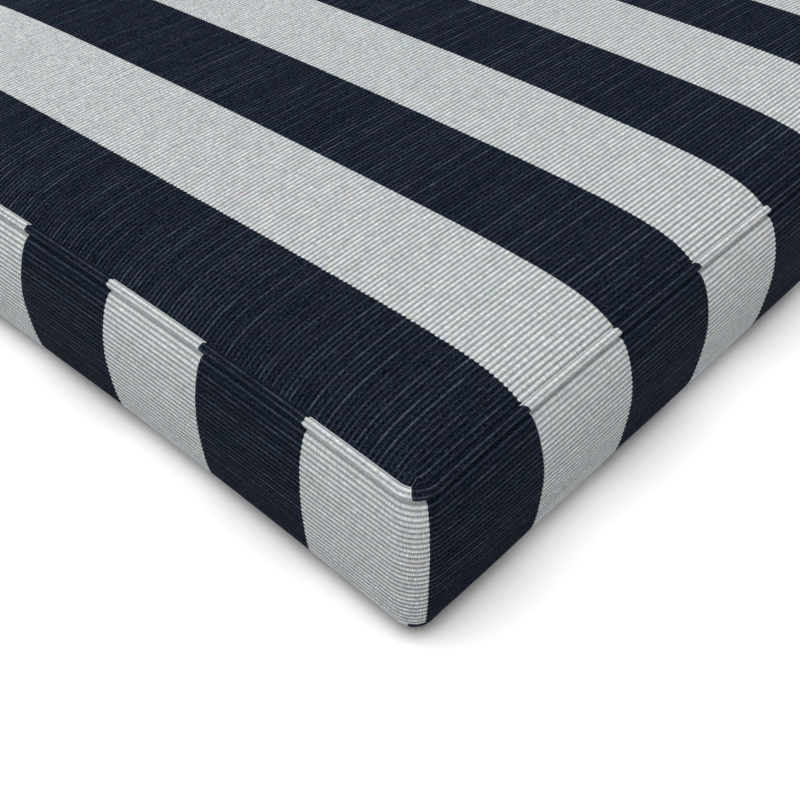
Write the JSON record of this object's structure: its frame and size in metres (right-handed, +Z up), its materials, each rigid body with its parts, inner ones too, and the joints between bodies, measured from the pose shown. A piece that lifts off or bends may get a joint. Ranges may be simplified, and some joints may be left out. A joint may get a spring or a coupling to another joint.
{
  "type": "outdoor chair cushion",
  "caption": "Square boxed seat cushion for an outdoor chair, in striped ribbed cloth with piped seams.",
  "frame": {"origin": "middle of the flat underside that the cushion rests on", "axes": "+Z up through the thickness, Y along the stripes of the top, X across them; the front side faces -Y"},
  "size_m": [0.5172, 0.5214, 0.1017],
  "materials": {
    "striped_cover": "ribbed outdoor cloth in even navy and off-white stripes, matt",
    "piping_cloth": "the same ribbed, striped cloth wrapped round a cord, matt"
  },
  "bodies": {
    "root": {"cushion": "striped_cover", "piping_top": "piping_cloth", "piping_bottom": "piping_cloth"}
  },
  "joints": []
}
